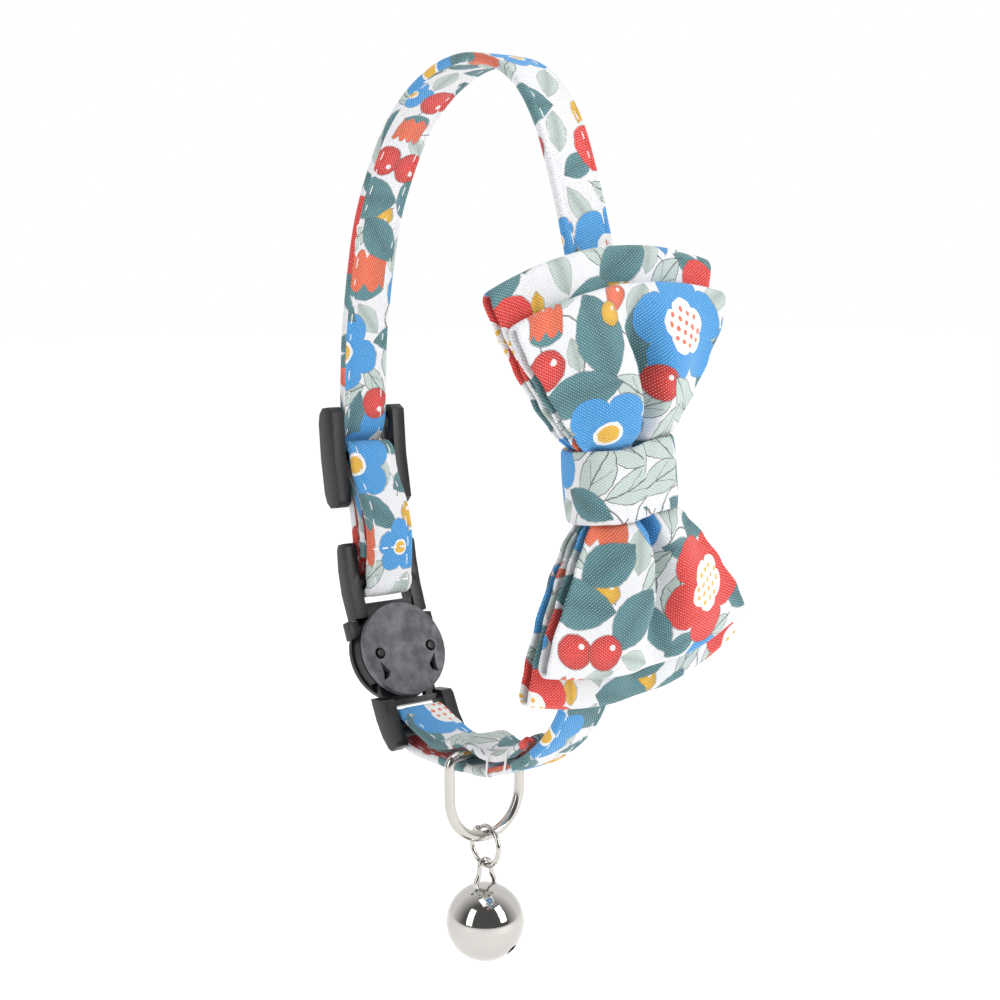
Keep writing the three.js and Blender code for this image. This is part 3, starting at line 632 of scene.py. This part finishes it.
# Bell: two pressed steel cups closed at the equator, polished and nickel plated. A slit crosses the bottom
# between two round eyes, and a bent wire loop with spread feet is fixed in the crown.
BELL_R, BELL_WALL, LOOP_WIRE, SLIT_TURN = 6.15, 0.55, 0.8, 20
bell_z = jump_z - JUMP_R + JUMP_WIRE / 2 + LOOP_WIRE / 2 + 0.15 - 10.15
profile = []
for i in range(1, 72):
    a = math.pi * i / 72
    r = BELL_R + 0.05 * math.exp(-((a - math.pi / 2) / 0.035) ** 2) - 0.035 * math.exp(-((a - 1.625) / 0.02) ** 2)
    profile.append((r * math.sin(a), r * math.cos(a)))
inner = BELL_R - BELL_WALL
profile += [(inner * math.sin(math.pi * i / 40), inner * math.cos(math.pi * i / 40)) for i in range(39, 0, -1)]
rings = [[(r * math.cos(2 * math.pi * k / 96), r * math.sin(2 * math.pi * k / 96), z) for r, z in profile] for k in range(96)]


def cutter(points, radius, sides):
    made = loft("cutter", tube(points, radius, sides), list(range(sides + 1)), list(range(len(points))), False)
    made.data.polygons.foreach_set("use_smooth", [False] * len(made.data.polygons))
    return made


def shell_of_bell():
    """A closed shell: the outside, the inside, and the slit and eyes cut through."""
    work = bmesh.new()
    for radius, flip in ((BELL_R, False), (inner, True)):
        before = set(work.faces)
        bmesh.ops.create_uvsphere(work, u_segments=96, v_segments=64, radius=radius * MM)
        if flip:
            bmesh.ops.reverse_faces(work, faces=[f for f in work.faces if f not in before])
    for vert in work.verts:
        r = vert.co.length / MM
        if r > BELL_R - 0.1:
            z = vert.co.z / MM
            vert.co *= (r + 0.05 * math.exp(-(z / 0.22) ** 2) - 0.05 * math.exp(-((z + 0.42) / 0.14) ** 2)) / r
    mesh = bpy.data.meshes.new("bell_shell")
    work.to_mesh(mesh)
    work.free()
    shell = bpy.data.objects.new("bell_shell", mesh)
    bpy.context.scene.collection.objects.link(shell)
    turn = Matrix.Rotation(math.radians(SLIT_TURN), 4, "Z")
    tools = []
    slit = bmesh.new()
    bmesh.ops.create_cube(slit, size=1.0, matrix=turn @ Matrix.Translation((0, 0, -BELL_R * 1.05 * MM)) @ Matrix.Diagonal(
        (2 * BELL_R * 0.8 * MM, 0.8 * MM, BELL_R * MM, 1)))
    data = bpy.data.meshes.new("cutter")
    slit.to_mesh(data)
    slit.free()
    tools.append(bpy.data.objects.new("cutter", data))
    for sign in (0, 180):
        way = turn @ Matrix.Rotation(math.radians(sign), 4, "Z") @ Vector((math.cos(math.radians(36)), 0, -math.sin(math.radians(36))))
        tools.append(cutter([way * BELL_R * 0.6, way * BELL_R * 1.3], 0.95, 28))
    for tool in tools:
        if tool.name not in bpy.context.scene.collection.objects:
            bpy.context.scene.collection.objects.link(tool)
        cut = shell.modifiers.new("cut", "BOOLEAN")
        cut.operation, cut.object, cut.solver = "DIFFERENCE", tool, "EXACT"
    bpy.context.view_layer.update()
    ready = bpy.data.meshes.new_from_object(shell.evaluated_get(bpy.context.evaluated_depsgraph_get()))
    for thing in (*tools, shell):
        bpy.data.objects.remove(thing)
    made = bpy.data.objects.new("bell_shell", ready)
    bpy.context.scene.collection.objects.link(made)
    return made


shell = shell_of_bell()
loop = [(-1.8, 5.75), (-1.75, 6.6), (-1.25, 7.7), (-1.1, 8.8), (-0.85, 9.7), (0, 10.15),
        (0.85, 9.7), (1.1, 8.8), (1.25, 7.7), (1.75, 6.6), (1.8, 5.75)]
rings = tube(smooth([(0, y, z) for y, z in loop], 0.25), LOOP_WIRE / 2, 16)
eye = loft("bell_loop", rings, list(range(17)), list(range(len(rings))), False)
bell = joined("bell_plated", [shell, eye])
bell.data.transform(Matrix.Translation(Vector((HANG_X, 0, bell_z)) * MM))
bell.data.set_sharp_from_angle(angle=math.radians(40))
bell.data.materials.append(plated("nickel bell", (0.60, 0.58, 0.55), 0.06))
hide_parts("bell")
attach(bell, "bell")


# Bow: two loops of the same printed cotton, one behind the other, each turned right side out and pressed flat.
# Each is pinched in the middle into a pleat with a ridge on either side of a deep valley.
BOW_Y, BOW_Z, BOW_ROLL, CLOTH = 0.8, -6.2, 6.5, 0.6
# Columns: share of the half length, front face x, back face x, front pleat, back pleat, half width
FRONT_LAYER = (26.4, 3.2, [
    (0.00, 34.5, 33.55, 1.5, 1.0, 7.0), (0.19, 34.6, 33.6, 1.9, 1.05, 7.2), (0.30, 34.9, 33.75, 3.9, 1.5, 9.4),
    (0.45, 35.3, 34.1, 4.9, 2.1, 12.0), (0.65, 35.9, 34.5, 4.7, 2.0, 14.8), (0.85, 36.4, 34.8, 3.0, 1.3, 17.6),
    (1.00, 36.6, 34.9, 1.2, 0.7, 18.8)])
BACK_LAYER = (31.4, 3.8, [
    (0.00, 32.45, 31.4, 0.6, 0.2, 7.0), (0.17, 32.5, 31.45, 0.8, 0.3, 7.2), (0.30, 32.6, 31.5, 1.9, 0.9, 10.6),
    (0.45, 32.8, 31.6, 2.4, 1.1, 13.4), (0.65, 33.1, 31.6, 2.2, 1.0, 16.2), (0.85, 33.2, 31.6, 1.6, 0.6, 18.6),
    (1.00, 33.2, 31.4, 0.9, 0.4, 19.8)])


def column(rows, share, k):
    f = min(abs(share), 1.0)
    i = 0
    while i < len(rows) - 2 and f > rows[i + 1][0]:
        i += 1
    t = (f - rows[i][0]) / (rows[i + 1][0] - rows[i][0])
    return rows[i][k] + (rows[i + 1][k] - rows[i][k]) * (t * t * (3 - 2 * t) * 0.5 + t * 0.5)


def pleat(u):
    """0 in the valley, 1 on the two ridges, falling to the side edges."""
    a, ridge = abs(u), 0.3
    if a < ridge:
        return (1 - math.cos(math.pi * a / ridge)) / 2
    return 0.15 + 0.85 * (1 + math.cos(math.pi * (a - ridge) / (1 - ridge))) / 2


def bow_point(layer, q, u, seed):
    """The middle of the cloth: q runs once round the loop, front sheet downwards first, u from edge to edge."""
    length, corner, rows = layer
    q %= 1.0
    down = 1 if q < 0.5 else -1
    part, fold = (q * 2) % 1.0, 0.1
    reach = length - corner * u * u
    if part < fold / 2:
        share, turn = 1.0, math.pi / 2 * (1 - part / (fold / 2))
    elif part > 1 - fold / 2:
        share, turn = -1.0, math.pi / 2 * (part - (1 - fold / 2)) / (fold / 2)
    else:
        share, turn = 1 - 2 * (part - fold / 2) / (1 - fold), 0.0
    share *= down
    front = column(rows, share, 1) + column(rows, share, 3) * pleat(u)
    back = column(rows, share, 2) + column(rows, share, 4) * pleat(u)
    r = (front - back) / 2
    x = (front + back) / 2 + down * r * math.cos(turn)
    z = share * (reach - r) + math.copysign(1, share) * r * math.sin(turn)
    y = u * column(rows, share, 5)
    if down > 0 and u < 0:  # the near ridge leans over the valley
        y += 0.62 * column(rows, share, 3) * pleat(u) * max(0.0, 1 + u / 0.6)
    soft = min(1.0, abs(share) * 2.2) * (0.5 if down > 0 else 0.2)
    x += soft * 0.35 * noise.noise(Vector((y * 0.16, z * 0.13, seed)))
    near = math.exp(-((abs(share) - 0.26) / 0.14) ** 2)
    if down > 0:
        x += 0.22 * near * math.cos(u * 15 + seed) * max(0.0, 1 - abs(u)) ** 0.5
    return Vector((x, y, z))


def bow_loop(name, layer, seed, shift):
    stations, spread = 300, [math.sin(math.pi / 2 * (k / 36)) ** 1.0 for k in range(-36, 37)]
    spread = [0.55 * s + 0.45 * k / 36 for s, k in zip(spread, range(-36, 37))]
    rings = []
    for i in range(stations):
        q, d, top, under = i / stations, 2e-3, [], []
        for u in spread:
            p = bow_point(layer, q, u, seed)
            along = bow_point(layer, q + d, u, seed) - bow_point(layer, q - d, u, seed)
            aside = bow_point(layer, q, u + d, seed) - bow_point(layer, q, u - d, seed)
            n = along.cross(aside).normalized()
            edge = max(0.0, (abs(u) - 0.975) / 0.025)
            n *= CLOTH / 2 * math.sqrt(max(0.06, 1 - edge ** 2))
            top.append(p + n)
            under.append(p - n)
        rings.append(top + under[::-1])
    run = [0.0]
    mid = len(spread) // 2
    for i in range(stations):
        run.append(run[-1] + (rings[(i + 1) % stations][mid // 2] - rings[i][mid // 2]).length)
    lanes = [u * 19 for u in spread]
    across = [shift[0] + y for y in lanes] + [shift[0] + y + 0.4 for y in reversed(lanes)] + [shift[0] - 19]
    made = loft(name, rings, across, [shift[1] - r for r in run], True)
    # the cloth isn't drawn in towards the waist, it is folded, so the print keeps its width there
    cloth_marks = made.data.uv_layers["cloth"].data
    for corner in made.data.loops:
        spot = made.data.vertices[corner.vertex_index].co
        cloth_marks[corner.index].uv.x = shift[0] + spot.y / MM + 0.25 * (spot.x / MM - 35)
    made.data.transform(Matrix.Translation(Vector((0, BOW_Y, BOW_Z)) * MM) @ Matrix.Rotation(math.radians(BOW_ROLL), 4, "X"))
    made.data.materials.append(printed_cotton)
    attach(made, "collar")
    return made, run[-1]


bow_back, back_run = bow_loop("bow_back_cloth", BACK_LAYER, 4.0, (11, 74))
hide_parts("bow_back")
bow_front, front_run = bow_loop("bow_front_cloth", FRONT_LAYER, 9.0, (20, 55))
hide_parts("bow_front")


# Knot: a band of the same cotton wrapped round the waist of both layers and the strap behind them, its raw
# edges turned under and its ends joined at the back, swollen where the pleats push it out.
KNOT_TALL, KNOT_CLOTH = 10.2, 0.9
rings, count = [], 160
levels = [-0.5, -0.485, -0.45, -0.38, -0.28, -0.14, 0, 0.14, 0.28, 0.38, 0.45, 0.485, 0.5]
for i in range(count):
    a = 2 * math.pi * i / count
    c, s = math.cos(a), math.sin(a)
    k = (abs(c) ** 2.8 + abs(s) ** 2.8) ** (-1 / 2.8)
    ring = []
    front = max(0.0, c) ** 0.5
    for z in levels:
        flute = 0.10 * front * math.cos(8.6 * k * s * 2.1 + 1.3 * math.sin(z * 3)) * (0.4 + abs(z))
        roll = 0.30 * math.sqrt(max(0, 1 - (2 * z) ** 8)) - 0.28
        grow = 0.12 * math.cos(math.pi * z) + roll + flute
        ring.append((32.95 + (5.0 + grow) * k * c, (8.6 + grow) * k * s, z * KNOT_TALL + 0.25 * front * math.sin(s * 5)))
    for z in (0.47, 0.3, 0, -0.3, -0.47):
        ring.append((32.95 + (5.0 - KNOT_CLOTH) * k * c, (8.6 - KNOT_CLOTH) * k * s, z * KNOT_TALL))
    rings.append(ring)
across = [20 + z * KNOT_TALL for z in levels] + [26 - z * KNOT_TALL for z in (0.47, 0.3, 0, -0.3, -0.47)] + [15]
knot = loft("bow_knot_cloth", rings, across, [14.6 + 44 * i / count for i in range(count + 1)], True)
for mark in knot.data.uv_layers["cloth"].data:
    mark.uv = (mark.uv[1] + 13.0, mark.uv[0] + 11.5)
knot.data.transform(Matrix.Translation(Vector((0, BOW_Y, BOW_Z)) * MM) @ Matrix.Rotation(math.radians(BOW_ROLL), 4, "X"))
knot.data.materials.append(printed_cotton)
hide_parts("bow_knot")
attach(knot, "collar")
